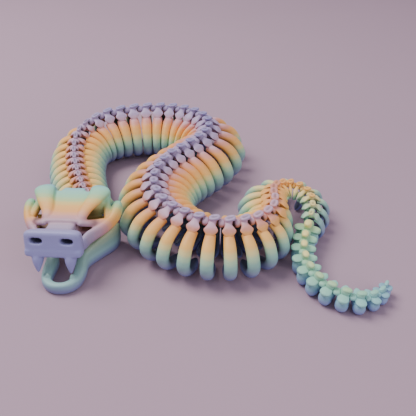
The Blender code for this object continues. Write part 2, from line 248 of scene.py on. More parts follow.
class Tree:
    """A node tree under construction."""

    def __init__(self, group):
        self.group = group

    def plug(self, value, socket):
        """Joins another node's output to a socket, or sets the socket to a plain value."""
        if isinstance(value, bpy.types.NodeSocket):
            self.group.links.new(value, socket)
        else:
            socket.default_value = value

    def put(self, kind, settings=None, **plugs):
        """Adds a node. A plug names its input, or gives the input's number after a low line."""
        made = self.group.nodes.new(kind)
        for key, value in (settings or {}).items():
            setattr(made, key, value)
        for key, value in plugs.items():
            self.plug(value, made.inputs[int(key[1:]) if key[1:].isdigit() else key.replace("_", " ")])
        return made.outputs[0]

    def numbered(self, kind, settings, values):
        """Adds a node with values for its first inputs, in their order."""
        return self.put(kind, settings, **{f"_{place}": value for place, value in enumerate(values)})

    def maths(self, operation, *values):
        return self.numbered("ShaderNodeMath", {"operation": operation}, values)

    def vectors(self, operation, *values):
        made = self.numbered("ShaderNodeVectorMath", {"operation": operation}, values)
        return made.node.outputs["Value"] if operation == "DOT_PRODUCT" else made

    def scaled(self, vector, factor):
        return self.put("ShaderNodeVectorMath", {"operation": "SCALE"}, _0=vector, Scale=factor)

    def parts(self, vector):
        """The x, y and z of a vector."""
        return self.put("ShaderNodeSeparateXYZ", _0=vector).node.outputs


class GeometryTree(Tree):
    """A Geometry Nodes group with named inputs, which turns one mesh into another."""

    def __init__(self, name, inputs):
        super().__init__(bpy.data.node_groups.new(name, "GeometryNodeTree"))
        face = self.group.interface
        face.new_socket("Geometry", in_out="OUTPUT", socket_type="NodeSocketGeometry")
        face.new_socket("Geometry", in_out="INPUT", socket_type="NodeSocketGeometry")
        self.sockets = {}
        for label, kind in inputs.items():
            self.sockets[label] = face.new_socket(label, in_out="INPUT", socket_type=kind).identifier
        self.start = self.group.nodes.new("NodeGroupInput")
        self.stop = self.group.nodes.new("NodeGroupOutput")

    def named(self, name, kind="FLOAT"):
        """An attribute that the mesh carries."""
        return self.put("GeometryNodeInputNamedAttribute", {"data_type": kind}, Name=name)

    def either(self, test, when_false, when_true):
        return self.numbered("GeometryNodeSwitch", {"input_type": "FLOAT"}, (test, when_false, when_true))

    def less(self, first, second):
        settings = {"data_type": "FLOAT", "operation": "LESS_THAN"}
        return self.numbered("FunctionNodeCompare", settings, (first, second))

    def finish(self, geometry, material):
        geometry = self.put("GeometryNodeRealizeInstances", _0=geometry)
        geometry = self.put("GeometryNodeSetShadeSmooth", _0=geometry)
        geometry = self.put("GeometryNodeSetMaterial", Geometry=geometry, Material=material)
        self.group.links.new(geometry, self.stop.inputs[0])


def made_by_modifiers(obj):
    """The plain mesh that an object's modifiers make."""
    bpy.context.view_layer.update()
    graph = bpy.context.evaluated_depsgraph_get()
    return bpy.data.meshes.new_from_object(obj.evaluated_get(graph))


def grown(name, mesh, tree, **values):
    """Runs a tree on a mesh and returns the result as a plain mesh object."""
    seed = add_object(name + "_seed", mesh)
    modifier = seed.modifiers.new("grow", "NODES")
    modifier.node_group = tree.group
    for label, value in values.items():
        modifier[tree.sockets[label.replace("_", " ")]] = value
    result = made_by_modifiers(seed)
    bpy.data.objects.remove(seed, do_unlink=True)
    result.name = name
    return add_object(name, result)


print("tree helpers ready")

# %% [markdown]
# ## The plastic of the links
#
# The filament changes colour very slowly, so a link is striped by height: blue at the floor, then teal,
# sage, yellow, orange and pink, with lavender on top. A ramp on the object's own height gives that. Real
# prints also carry fine layer lines and a slightly streaky sheen along each rib. The lines are a shallow
# bump, and the streaks are noise stretched along the rib with an attribute that the ribs carry.

# %% Colours of the filament
HEIGHT_BANDS = (
    (0.5, (0.160, 0.165, 0.450)),
    (3.0, (0.180, 0.200, 0.480)),
    (5.0, (0.230, 0.280, 0.510)),
    (7.0, (0.290, 0.380, 0.500)),
    (9.0, (0.270, 0.430, 0.450)),
    (11.0, (0.320, 0.560, 0.480)),
    (13.0, (0.480, 0.680, 0.450)),
    (15.0, (0.770, 0.670, 0.310)),
    (17.2, (0.930, 0.520, 0.150)),
    (19.6, (0.860, 0.400, 0.125)),
    (21.2, (0.680, 0.290, 0.230)),
    (22.7, (0.590, 0.370, 0.480)),
    (24.5, (0.440, 0.330, 0.520)),
    (28.5, (0.310, 0.280, 0.530)),
)
TAIL_BANDS = (
    (0.3, (0.210, 0.230, 0.600)),
    (2.5, (0.300, 0.420, 0.700)),
    (4.5, (0.245, 0.440, 0.560)),
    (6.5, (0.300, 0.590, 0.560)),
    (8.5, (0.320, 0.620, 0.460)),
    (10.5, (0.440, 0.650, 0.360)),
    (12.0, (0.950, 0.800, 0.320)),
)
print("bands on a body link:", len(HEIGHT_BANDS), "and on a tail link:", len(TAIL_BANDS))

# %% A plastic under construction
LAYER_HEIGHT = 0.2
LAYER_STRENGTH, LAYER_DEPTH = 0.10, 0.04
NOISE_LOW, NOISE_HIGH = 0.3, 0.7
SMOOTHEST = 0.42
GLOSS = 0.35


class Plastic(Tree):
    """A material with a matte plastic shader."""

    def __init__(self, name, gloss=GLOSS):
        self.material = bpy.data.materials.new(name)
        self.material.use_nodes = True
        super().__init__(self.material.node_tree)
        self.shader = self.group.nodes["Principled BSDF"]
        self.give("Specular IOR Level", gloss)

    def give(self, label, value):
        self.plug(value, self.shader.inputs[label])

    def own_place(self):
        """The point's own place in metres."""
        return self.put("ShaderNodeTexCoord").node.outputs["Object"]

    def place_mm(self):
        return self.scaled(self.own_place(), 1 / MM)

    def mark(self, name, output="Fac"):
        """An attribute that the mesh carries."""
        return self.put("ShaderNodeAttribute", {"attribute_name": name}).node.outputs[output]

    def noise(self, at, scale, detail, **more):
        return self.put("ShaderNodeTexNoise", Vector=at, Scale=scale, Detail=detail, **more)

    def ranged(self, *limits):
        """A value carried from one range to another: value, from low, from high, to low, to high."""
        return self.numbered("ShaderNodeMapRange", None, limits)

    def wandering(self, value, place, scale, detail, reach):
        """The value moved by up to half of reach either way, so that no band has a ruled edge."""
        cloud = self.noise(place, scale, detail)
        return self.maths("ADD", value, self.maths("MULTIPLY_ADD", cloud, reach, -reach / 2))

    def bands(self, value, table, highest):
        """A colour ramp read at a value between 0 and the highest, in millimetres."""
        node = self.put("ShaderNodeValToRGB", Fac=self.ranged(value, 0.0, highest)).node
        node.color_ramp.interpolation = "EASE"
        stops = node.color_ramp.elements
        while len(stops) > 1:
            stops.remove(stops[0])
        for index, (at, colour) in enumerate(table):
            stop = stops.new(at / highest) if index else stops[0]
            stop.position = at / highest
            stop.color = (*colour, 1.0)
        return node.outputs[0]

    def with_painted_shade(self, colour, darkest):
        """The colour, darkened by painted shade where the mesh is marked as inside a hollow."""
        return self.scaled(colour, self.ranged(self.mark("inside"), 0.0, 1.0, 1.0, darkest))

    def roughen(self, grain, roughest, strength, depth, layered):
        """A sheen and a relief that follow a noise, under the fine lines of the printed layers."""
        self.give("Roughness", self.ranged(grain, NOISE_LOW, NOISE_HIGH, SMOOTHEST, roughest))
        wave = self.maths("SINE", self.maths("MULTIPLY", layered, 2 * math.pi / LAYER_HEIGHT))
        relief = self.put("ShaderNodeBump", Strength=strength, Distance=depth * MM, Height=grain)
        lines = {"Strength": LAYER_STRENGTH, "Distance": LAYER_DEPTH * MM, "Height": wave}
        self.give("Normal", self.put("ShaderNodeBump", Normal=relief, **lines))


print("layer lines on the tallest link:", round(max(height for _, height in HEIGHT) / LAYER_HEIGHT))

# %% The plastic of links and tail
BAND_CLOUD, BAND_DETAIL, BAND_WANDER = 0.12, 2.0, 1.6
STREAK_SCALE, STREAK_DETAIL, STREAK_ROUGHNESS = 1.0, 3.0, 0.6
STREAK_SHADE = (0.93, 1.06)
STREAK_ROUGHEST, STREAK_STRENGTH, STREAK_DEPTH = 0.58, 0.35, 0.25
# how dark the painted shade gets inside a ring, in the slits and in the dimples
HOLLOW_SHADE = 0.16


def band_plastic(name, table, highest):
    """Plastic striped by height, with streaks along each rib and painted shade inside the ring, the slits and
    the dimples.
    """
    made = Plastic(name)
    place = made.place_mm()
    height = made.parts(place)[2]
    read_at = made.wandering(height, place, BAND_CLOUD, BAND_DETAIL, BAND_WANDER)
    colour = made.bands(made.maths("ADD", read_at, made.mark("lifted")), table, highest)
    streaks = made.noise(made.mark("lie", "Vector"), STREAK_SCALE, STREAK_DETAIL, Roughness=STREAK_ROUGHNESS)
    shade = made.ranged(streaks, NOISE_LOW, NOISE_HIGH, *STREAK_SHADE)
    made.give("Base Color", made.scaled(made.with_painted_shade(colour, HOLLOW_SHADE), shade))
    made.roughen(streaks, STREAK_ROUGHEST, STREAK_STRENGTH, STREAK_DEPTH, height)
    return made.material


BANDED = band_plastic("banded_filament", HEIGHT_BANDS, highest=30.0)
TAIL_PLASTIC = band_plastic("tail_filament", TAIL_BANDS, highest=13.0)
print("filament material:", BANDED.name, "with", len(BANDED.node_tree.nodes), "nodes")

# %% [markdown]
# ## One tree for all the ribs
#
# A rib is a fat bar that leaves the vertebra, swells out over the belly and curls in along the floor. Each
# rib starts as a bare line of points. The tree turns the lines into curves and sweeps a circle along them,
# then pushes every point out to the rib's own length and depth at that place, which the line carries as
# attributes. That keeps the section round on the outside of a bend and squeezed flat inside it.

# %% The rib tree
# in metres: nothing sinks under the floor, and the other two are out of the way
LOWEST = (-1.0, -1.0, 0.0)


def rib_tree():
    inputs = {"Sides": "NodeSocketInt", "Fatness": "NodeSocketFloat", "Finish": "NodeSocketMaterial"}
    tree = GeometryTree("sweep_ribs", inputs)
    start = tree.start.outputs
    curves = tree.put("GeometryNodeMeshToCurve", Mesh=start["Geometry"])
    circle = tree.put("GeometryNodeCurvePrimitiveCircle", Resolution=start["Sides"], Radius=MM)
    swept = tree.put("GeometryNodeCurveToMesh", Curve=curves, Profile_Curve=circle, Fill_Caps=True)
    along = tree.named("along", "FLOAT_VECTOR")
    spot = tree.named("spot", "FLOAT_VECTOR")
    offset = tree.vectors("SUBTRACT", tree.put("GeometryNodeInputPosition"), spot)
    forward = tree.vectors("DOT_PRODUCT", offset, along)
    sideways = tree.vectors("SUBTRACT", offset, tree.scaled(along, forward))
    length = tree.either(tree.less(forward, 0.0), tree.named("long_back"), tree.named("long_front"))
    depth = tree.maths("MULTIPLY", tree.named("deep"), start["Fatness"])
    moved = tree.vectors("ADD", spot, tree.scaled(along, tree.maths("MULTIPLY", forward, length)))
    moved = tree.vectors("ADD", moved, tree.scaled(sideways, depth))
    moved = tree.vectors("MAXIMUM", moved, LOWEST)
    tree.finish(tree.put("GeometryNodeSetPosition", Geometry=swept, Position=moved), start["Finish"])
    return tree


RIB_TREE = rib_tree()
print("rib tree inputs:", list(RIB_TREE.sockets))

# %% [markdown]
# ## The lines of the ribs
#
# Eight points describe every rib, from its tip near the floor over the flat of the belly, the widest place
# and the shoulder to its head under the vertebra. They are shares of the ring's own width and height, so a
# small ring near the tail has the same shape. On the inside of the small loop the ribs are only short stubs.
# The tip is rounded by letting the bar shrink over its last points.

# %% Draw the rib lines
RIB_DEPTH = 0.145
RIB_LENGTH = 0.85
RIB_LENGTH_MOST = 6.2
RIB_POINTS = 22
# across, up, share of the length, share of the depth
RIB_PATH = (
    (0.10, 0.090, 0.80, 0.80),
    (0.48, 0.098, 0.96, 0.92),
    (0.77, 0.150, 1.00, 0.97),
    (0.94, 0.240, 1.00, 1.00),
    (1.00, 0.370, 1.00, 1.00),
    (0.83, 0.570, 0.97, 0.92),
    (0.60, 0.675, 0.92, 0.82),
    (0.30, 0.730, 0.80, 0.75),
)
STUB_PATH = (
    (1.00, 0.585, 0.62, 0.50),
    (0.97, 0.645, 0.84, 0.68),
    (0.72, 0.695, 0.84, 0.75),
    (0.40, 0.725, 0.80, 0.75),
)
STUB_REACH = 0.16
TIP_POINTS, TIP_START = 3.0, 0.25
LEAST_HALF = 0.25
# how fast the streaks change along a rib, from side to side and from link to link
STREAK_STEPS = (0.08, 3.0, 1.7)


def tip_rounding(index):
    """How much of its thickness the bar has at a point counted from its tip."""
    return math.sqrt(1 - (1 - min((index + TIP_START) / TIP_POINTS, 1.0)) ** 2)


def rib_route(link, side):
    """How far out a rib goes, and the path that it takes. Inside the small loop it is only a stub."""
    reach = half_width(link, side) - RIB_DEPTH * link["width"] / 2
    if side < 0 and link["number"] >= STUBS_FROM:
        return min(reach, STUB_REACH * link["width"]), STUB_PATH
    return reach, RIB_PATH


def rib_lines(name, members):
    """A mesh of bare lines, one for each rib of these links, with what the tree needs on every point."""
    points, edges = [], []
    kept = {key: [] for key in ("along", "spot", "long_front", "long_back", "deep", "lie")}
    for link in members:
        for side in (1, -1):
            depth = RIB_DEPTH * link["width"] / 2
            reach, path = rib_route(link, side)
            first, walked = len(points), 0.0
            for index, (across, up, long, deep) in enumerate(smooth_rows(path, RIB_POINTS)):
                left = side * across * reach
                spot = (link["centre"] + left * link["left"]) * MM
                spot[2] = up * link["height"] * MM
                rounding = tip_rounding(index)
                half = min(RIB_LENGTH * link["pitch"], RIB_LENGTH_MOST) / 2 * long * rounding
                points.append(spot)
                kept["along"].append(link["along"])
                kept["spot"].append(spot)
                kept["long_front"].append(max(min(half, room(link, 0, left)), LEAST_HALF))
                kept["long_back"].append(max(min(half, room(link, 1, left)), LEAST_HALF))
                kept["deep"].append(depth * deep * rounding)
                if index:
                    edges.append((first + index - 1, first + index))
                    walked += np.linalg.norm(spot - points[-2]) / MM
                kept["lie"].append(np.multiply(STREAK_STEPS, (walked, side, link["number"])))
    mesh = bpy.data.meshes.new(name)
    mesh.from_pydata([tuple(point) for point in points], edges, [])
    for key, values in kept.items():
        attribute(mesh, key, "FLOAT_VECTOR" if np.ndim(values[0]) else "FLOAT", values)
    return mesh


print("points on one rib:", RIB_POINTS)

# %% Sweep the ribs of each region
REGIONS = (("neck", 1, 12), ("front_bend", 13, 27), ("middle", 28, 41), ("hind_loop", 42, 55))
RIB_SIDES = 18
RIB_FATNESS = 1.0
# where the painted shade inside each ring is centred, and how it fades in on faces that look into the hollow
HOLLOW_UP = 0.36
INWARD_FROM, INWARD_SPAN = 0.1, 0.6


def shade_inside(piece, members):
    """Marks how far each point faces the hollow of its ring, which never sees light, so that shade is painted
    there.
    """
    mesh = piece.data
    spot, place = rows_of(mesh.attributes["spot"].data, "vector"), rows_of(mesh.vertices, "co")
    centres = np.array([link["centre"] for link in members]) * MM
    heights = np.array([link["height"] for link in members]) * MM
    owner = np.argmin(np.linalg.norm(spot[:, None, :2] - centres[None, :, :2], axis=2), axis=1)
    hollow = centres[owner]
    hollow[:, 2] = HOLLOW_UP * heights[owner]
    outward = spot - hollow
    outward /= np.linalg.norm(outward, axis=1)[:, None]
    facing = place - spot
    facing /= np.maximum(np.linalg.norm(facing, axis=1)[:, None], 1e-7)
    inward = -(outward * facing).sum(axis=1)
    attribute(mesh, "inside", "FLOAT", np.clip((inward - INWARD_FROM) / INWARD_SPAN, 0, 1))


def grow_ribs(region, first, last):
    members = links[first - 1 : last]
    lines = rib_lines(region, members)
    piece = grown(f"{region}_ribs", lines, RIB_TREE, Sides=RIB_SIDES, Fatness=RIB_FATNESS, Finish=BANDED)
    shade_inside(piece, members)
    return piece


ribs = {region: grow_ribs(region, first, last) for region, first, last in REGIONS}
print("rib faces:", {region: len(piece.data.polygons) for region, piece in ribs.items()})

# %% [markdown]
# ## One vertebra as a mould
#
# Every vertebra has the same forms. A hood lies over the rib heads like a roof: nearly flat on top, with a
# V-shaped lower edge, narrow in the middle and with one pointed lobe on each side, like a bow tie seen from
# above. A round tongue points towards the head and fills the narrow middle of the hood in front, and a slit
# stays between them, as in the real joint; painted shade darkens the tongue's front in it. A short waist
# carries a long pad, which rises to a bright rim over the tongue behind, and a spot of painted shade marks a
# small dark dimple on the pad. We model one, at the size of a mid-body link, and copy it along the chain.

# %% Shapes of the mould
MOULD_PITCH = 6.7
MOULD_HEIGHT = 27.5
MOULD_WIDTH = 35.0
# left, up at the edge, reach to the front, reach to the back, rise of the roof, drop of the keel
HOOD = (
    (0.0, 24.6, 1.5, 1.5, 0.5, 2.9),
    (1.7, 24.3, 1.6, 1.7, 0.5, 2.8),
    (2.6, 24.0, 1.8, 2.0, 0.4, 2.6),
    (3.5, 23.6, 2.4, 2.7, 0.4, 2.4),
    (4.3, 23.2, 3.0, 3.2, 0.4, 2.2),
    (5.0, 22.7, 2.8, 3.0, 0.3, 1.9),
    (5.7, 22.0, 2.0, 2.1, 0.3, 1.4),
    (6.3, 21.2, 1.2, 1.2, 0.2, 0.9),
    (6.6, 20.7, 0.5, 0.5, 0.1, 0.4),
)
HOOD_EDGE = 0.42
HOOD_ROWS, HOOD_SIDES = 15, 22
HOOD_POWER, HOOD_ARCH, HOOD_ONSET = 2.2, 1.6, 1.5
TONGUE_AT = (-2.85, 0.0, 24.0)
TONGUE_HALF = (1.75, 2.0, 1.75)
WAIST_AT = (0.3, 0.0, 24.6)
WAIST_HALF = (1.65, 1.65, 1.9)
PAD_AT = (1.0, 0.0, 26.25)
PAD_HALF = (2.45, 1.8, 0.78)
PAD_TILT_DEG = 12.0
DISH_DEPTH = 0.5
DISH_SHARE = 0.72
# painted shade: a dark dimple on the pad and the slit at the tongue's front, with their places, fades and
# strength
DIMPLE_AT, DIMPLE_HALF = (0.9, 0.0), (1.2, 0.5)
DIMPLE_EDGE, DIMPLE_DEPTH, DIMPLE_SHADE = 1.7, 1.9, 0.6
SLIT_AT, SLIT_FADE = -3.75, 0.35
# how far hood, tongue, waist and pad give way inside a bend
VERTEBRA_YIELD = (1.0, 0.0, 0.3, 0.3)
MOULD_STREAKS = (0.5, 0.5, 1.0)
print("a mid-body hood is", 2 * HOOD[-1][0], "mm wide")

# %% Eggs, hoods and dished pads


def rounded(angle, power):
    c, s = math.cos(angle), math.sin(angle)
    return math.copysign(abs(c) ** (2 / power), c), math.copysign(abs(s) ** (2 / power), s)


def tube_faces(rings, sides):
    """Four-cornered faces between equal rings of points, one ring after the other."""
    faces = []
    for low in range(0, (rings - 1) * sides, sides):
        for side in range(sides):
            after = (side + 1) % sides
            faces.append((low + side, low + after, low + sides + after, low + sides + side))
    return faces


def egg(centre, half, rows=12, sides=20, power=2.0, tall_power=2.0):
    """A closed egg or pillow: round for a power of 2 and boxier above it."""
    points = []
    for row in range(rows + 1):
        flat, up = rounded(math.pi * (row / rows - 0.5), tall_power)
        for side in range(sides):
            x, y = rounded(2 * math.pi * side / sides, power)
            points.append(np.add(centre, np.multiply(half, (x * flat, y * flat, up))))
    return np.array(points), tube_faces(rows + 1, sides)


def hood(table, wide=1.0, long=1.0):
    """A loft from the left eave to the right one, through sections with a flat top and a V-shaped keel."""
    half = smooth_rows(table, HOOD_ROWS)
    rows = np.vstack([half[::-1], half[1:] * (-1, 1, 1, 1, 1, 1)])
    points = []
    for y, z, front, back, rise, drop in rows:
        for side in range(HOOD_SIDES):
            c, s = rounded(2 * math.pi * side / HOOD_SIDES, HOOD_POWER)
            x = c * (back if c > 0 else front) * long
            bulge = (1 - abs(c) ** HOOD_ARCH) * (rise if s > 0 else -drop)
            points.append((x, y * wide, z + HOOD_EDGE * s + bulge * min(abs(s) * HOOD_ONSET, 1.0)))
    faces = tube_faces(len(rows), HOOD_SIDES)
    faces.append(tuple(range(HOOD_SIDES)))
    faces.append(tuple(range(len(points) - HOOD_SIDES, len(points)))[::-1])
    return np.array(points), faces


def dished(shape, centre, half, depth):
    """Sinks the top of a pad into a long dish and leaves a rim round it."""
    points, faces = shape
    far = np.hypot((points[:, 0] - centre[0]) / half[0], (points[:, 1] - centre[1]) / half[1])
    on_top = points[:, 2] > centre[2]
    points[:, 2] -= on_top * depth * np.clip(1 - (far / DISH_SHARE) ** 2, 0, 1)
    return points, faces


def tilt(shape, centre, degrees):
    """Turns a shape about the sideways line through a centre, tail end up."""
    points, faces = shape
    turn = math.radians(degrees)
    x, z = points[:, 0] - centre[0], points[:, 2] - centre[2]
    points[:, 0] = centre[0] + x * math.cos(turn) - z * math.sin(turn)
    points[:, 2] = centre[2] + x * math.sin(turn) + z * math.cos(turn)
    return points, faces


print("faces of a plain egg:", len(egg((0, 0, 0), (1, 1, 1))[1]))

# %% Join the forms into a mould


def joined(shapes):
    """The points and the faces of several closed shapes, each as one list."""
    points, faces = [], []
    for some, more in shapes:
        faces += [tuple(len(points) + corner for corner in face) for face in more]
        points += list(some)
    return np.array(points), faces


def closed_mesh(name, points, faces):
    """A mesh from points in millimetres, with its faces turned outwards."""
    mesh = bpy.data.meshes.new(name)
    mesh.from_pydata([tuple(point) for point in points * MM], [], faces)
    body = bmesh.new()
    body.from_mesh(mesh)
    bmesh.ops.recalc_face_normals(body, faces=body.faces)
    body.to_mesh(mesh)
    body.free()
    return mesh


def mould(name, shapes, squeezed, dimple_at, slit_at):
    """Joins closed shapes into one mesh that is never shown, with the marks that its copies need."""
    places, faces = joined(shapes)
    mesh = closed_mesh(name, places, faces)
    # painted shade: a dark dimple on top of the pad and a dark tongue front in the slit, kept in the inside
    # mark
    from_dimple = np.hypot(*((places[:, :2] - dimple_at) / DIMPLE_HALF).T)
    on_top = places[:, 2] > places[:, 2].max() - DIMPLE_DEPTH
    dimple = np.clip(DIMPLE_EDGE - from_dimple, 0, 1) * on_top
    slit = np.clip((slit_at - places[:, 0]) / SLIT_FADE, 0, 1)
    attribute(mesh, "place", "FLOAT_VECTOR", places)
    attribute(mesh, "squeeze", "FLOAT", np.repeat(squeezed, [len(some) for some, _ in shapes]))
    attribute(mesh, "inside", "FLOAT", np.maximum(DIMPLE_SHADE * dimple, slit))
    attribute(mesh, "lie", "FLOAT_VECTOR", places * MOULD_STREAKS)
    obj = add_object(name, mesh)
    obj.hide_render = True
    obj.hide_viewport = True
    return obj


def vertebra_mould(name="vertebra_mould", hood_long=1.0, hood_wide=1.0, pad_wide=1.0, tongue_wide=1.0):
    tongue = egg(TONGUE_AT, np.multiply(TONGUE_HALF, (1, tongue_wide, 1)), power=2.3, tall_power=2.2)
    waist = egg(WAIST_AT, np.multiply(WAIST_HALF, (1, pad_wide, 1)), rows=8, power=2.6, tall_power=4.0)
    half = np.multiply(PAD_HALF, (1, pad_wide, 1))
    pad = egg(PAD_AT, half, rows=12, sides=28, power=2.7, tall_power=2.8)
    pad = tilt(dished(pad, PAD_AT, half, DISH_DEPTH), PAD_AT, PAD_TILT_DEG)
    shapes = (hood(HOOD, hood_wide, hood_long), tongue, waist, pad)
    return mould(name, shapes, VERTEBRA_YIELD, DIMPLE_AT, SLIT_AT)


VERTEBRA = vertebra_mould()
NECK_VERTEBRA = vertebra_mould("neck_mould", hood_long=0.72, hood_wide=0.9, pad_wide=0.6, tongue_wide=1.2)
print("faces in one vertebra:", len(VERTEBRA.data.polygons))

# %% [markdown]
# ## Copy the vertebra along the chain
#
# The second tree takes bare points, one for each link, and puts a copy of the mould on each, turned to the
# link's heading and sized to its pitch. After the copies are made real, the tree squeezes the lobes on the
# inside of a bend into the wedge that the link owns, so that neighbours come close without touching.

# %% The link tree
HOOD_HALF_LENGTH = 3.2
LEAST_SHARE = 0.3


def link_tree():
    inputs = {"Mould": "NodeSocketObject", "Half length": "NodeSocketFloat", "Finish": "NodeSocketMaterial"}
    tree = GeometryTree("copy_links", inputs)
    start = tree.start.outputs
    own = {"transform_space": "ORIGINAL"}
    source = tree.put("GeometryNodeObjectInfo", own, Object=start["Mould"], As_Instance=True)
    source = source.node.outputs["Geometry"]
    turn = tree.put("ShaderNodeCombineXYZ", Z=tree.named("heading"))
    turn = tree.put("FunctionNodeEulerToRotation", _0=turn)
    size = tree.named("size", "FLOAT_VECTOR")
    copy = {"Points": start["Geometry"], "Instance": source, "Rotation": turn, "Scale": size}
    real = tree.put("GeometryNodeRealizeInstances", _0=tree.put("GeometryNodeInstanceOnPoints", **copy))
    ahead, left, _ = tree.parts(tree.vectors("MULTIPLY", tree.named("place", "FLOAT_VECTOR"), size))
    bend = tree.either(tree.less(ahead, 0.0), tree.named("turn_back"), tree.named("turn_front"))
    inner = tree.maths("MAXIMUM", tree.maths("MULTIPLY", bend, tree.maths("SIGN", left)), 0.0)
    slope = tree.maths("TANGENT", tree.maths("MULTIPLY", inner, 0.5))
    lost = tree.maths("MULTIPLY", tree.maths("ABSOLUTE", left), slope)
    free = tree.maths("SUBTRACT", tree.named("free"), lost)
    full = tree.maths("MULTIPLY", start["Half length"], tree.parts(size)[0])
    share = tree.maths("MINIMUM", tree.maths("DIVIDE", free, full), 1.0)
    share = tree.maths("MAXIMUM", share, LEAST_SHARE)
    change = tree.maths("MULTIPLY", tree.maths("SUBTRACT", share, 1.0), tree.named("squeeze"))
    move = tree.maths("MULTIPLY", tree.maths("MULTIPLY", ahead, change), MM)
    offset = tree.scaled(tree.named("along", "FLOAT_VECTOR"), move)
    tree.finish(tree.put("GeometryNodeSetPosition", Geometry=real, Offset=offset), start["Finish"])
    return tree


LINK_TREE = link_tree()
print("link tree inputs:", list(LINK_TREE.sockets))

# %% Copy the body's vertebrae
TALL_POWER, WIDE_POWER = 0.6, 0.5
# how many millimetres further up its colours a link's vertebra is, where the spool had already run on
COLOUR_LIFT = ((1, 2.4), (8, 2.0), (12, 0.0), (45, 0.0), (48, 1.2), (51, 1.0), (54, 0.0))


def link_points(name, members, tall, sized):
    """One bare point for each link. sized gives a link's scale (along, across, up)."""
    mesh = bpy.data.meshes.new(name)
    sizes = [sized(link) for link in members]
    spots = []
    for link, size in zip(members, sizes):
        spots.append(tuple(link["centre"] * MM + (0, 0, (link["height"] - tall * size[2]) * MM)))
    mesh.from_pydata(spots, [], [])
    attribute(mesh, "heading", "FLOAT", [link["heading"] for link in members])
    attribute(mesh, "along", "FLOAT_VECTOR", [link["along"] for link in members])
    attribute(mesh, "size", "FLOAT_VECTOR", sizes)
    attribute(mesh, "free", "FLOAT", [link["pitch"] / 2 - JOINT_GAP / 2 for link in members])
    attribute(mesh, "turn_front", "FLOAT", [link["turns"][0] for link in members])
    attribute(mesh, "turn_back", "FLOAT", [link["turns"][1] for link in members])
    attribute(mesh, "lifted", "FLOAT", [read(COLOUR_LIFT, link["number"]) for link in members])
    return mesh


def vertebra_size(link):
    """Vertebrae shrink less than their rings do, so a small ring has a rather tall and wide vertebra."""
    tall = (link["height"] / MOULD_HEIGHT) ** TALL_POWER
    wide = (link["width"] / MOULD_WIDTH) ** WIDE_POWER
    return link["pitch"] / MOULD_PITCH, wide, tall


def grow_vertebrae(region, first, last):
    members = links[first - 1 : last]
    points = link_points(region, members, MOULD_HEIGHT, vertebra_size)
    chosen = NECK_VERTEBRA if region == "neck" else VERTEBRA
    inputs = {"Mould": chosen, "Half_length": HOOD_HALF_LENGTH, "Finish": BANDED}
    return grown(f"{region}_vertebrae", points, LINK_TREE, **inputs)


vertebrae = {region: grow_vertebrae(region, first, last) for region, first, last in REGIONS}
print("vertebra faces:", {region: len(piece.data.polygons) for region, piece in vertebrae.items()})

# %% [markdown]
# ## The tail
#
# Behind the last ribs each link is a small round body with two blunt side horns and a knob on top. It is
# the same joint as before at a smaller size, so the same tree copies a second mould. The knob is egg-shaped
# where the pads of the body were long.

# %% Copy the tail links
TAIL_HEIGHT = 12.0
TAIL_PITCH = 6.1
TAIL_WIDTH = 11.5
# left, up at the edge, reach to the front, reach to the back, rise of the roof, drop of the keel
HORNS = (
    (0.0, 8.3, 2.2, 2.3, 0.5, 1.6),
    (1.8, 8.2, 2.2, 2.4, 0.5, 1.6),
    (3.0, 8.1, 2.2, 2.5, 0.5, 1.6),
    (3.9, 8.0, 1.9, 2.3, 0.5, 1.4),
    (4.6, 7.9, 1.3, 1.7, 0.4, 1.0),
    (5.0, 7.8, 0.6, 0.8, 0.2, 0.5),
)
# each form's centre and half size
TAIL_LOBE = ((0.0, 2.0, 3.6), (2.75, 2.6, 3.6))
TAIL_TRUNK = ((0.1, 0.0, 5.6), (2.7, 3.7, 3.0))
TAIL_TONGUE = ((-2.75, 0.0, 8.6), (1.7, 1.9, 1.4))
TAIL_WAIST = ((0.4, 0.0, 9.4), (1.8, 1.5, 1.8))
TAIL_KNOB = ((0.9, 0.0, 10.9), (2.1, 1.35, 0.95))
TAIL_KNOB_TILT_DEG = 5.0
# where painted shade starts on the front of the tail's tongue, in its slit
TAIL_SLIT_AT = -3.9
TAIL_HALF_LENGTH = 2.95
NO_DIMPLE = (99.0, 99.0)
# how far two lobes, trunk, hood, tongue, waist and knob give way inside a bend
TAIL_YIELD = (1.0, 1.0, 1.0, 1.0, 0.0, 0.3, 0.3)


def tail_mould():
    at, half = TAIL_LOBE
    sides = [np.multiply(at, (1, side, 1)) for side in (1, -1)]
    lobes = [egg(place, half, rows=14, sides=22, power=2.3, tall_power=2.2) for place in sides]
    trunk = egg(*TAIL_TRUNK, rows=12, sides=24, power=2.6, tall_power=2.6)
    tongue = egg(*TAIL_TONGUE, power=2.4, tall_power=2.2)
    waist = egg(*TAIL_WAIST, rows=8, power=2.6, tall_power=3.0)
    knob = tilt(egg(*TAIL_KNOB, power=2.3, tall_power=2.3), TAIL_KNOB[0], TAIL_KNOB_TILT_DEG)
    shapes = (*lobes, trunk, hood(HORNS), tongue, waist, knob)
    return mould("tail_mould", shapes, TAIL_YIELD, NO_DIMPLE, TAIL_SLIT_AT)


def tail_size(link):
    return link["pitch"] / TAIL_PITCH, link["width"] / TAIL_WIDTH, link["height"] / TAIL_HEIGHT


TAIL_MOULD = tail_mould()
tail_points = link_points("tail", links[RIBBED_LINKS:], TAIL_HEIGHT, tail_size)
tail_inputs = {"Mould": TAIL_MOULD, "Half_length": TAIL_HALF_LENGTH, "Finish": TAIL_PLASTIC}
tail = grown("tail", tail_points, LINK_TREE, **tail_inputs)
print("tail faces:", len(tail.data.polygons))

# %% [markdown]
# ## Where the head lies
#
# The head is easiest to model along its own line: x from the back of the skull to the snout, y to its
# left, z up, in millimetres. One helper carries such points to where the head lies, turned a little to one
# side, and leans the skull by a few degrees as the real one leans on its jaw.

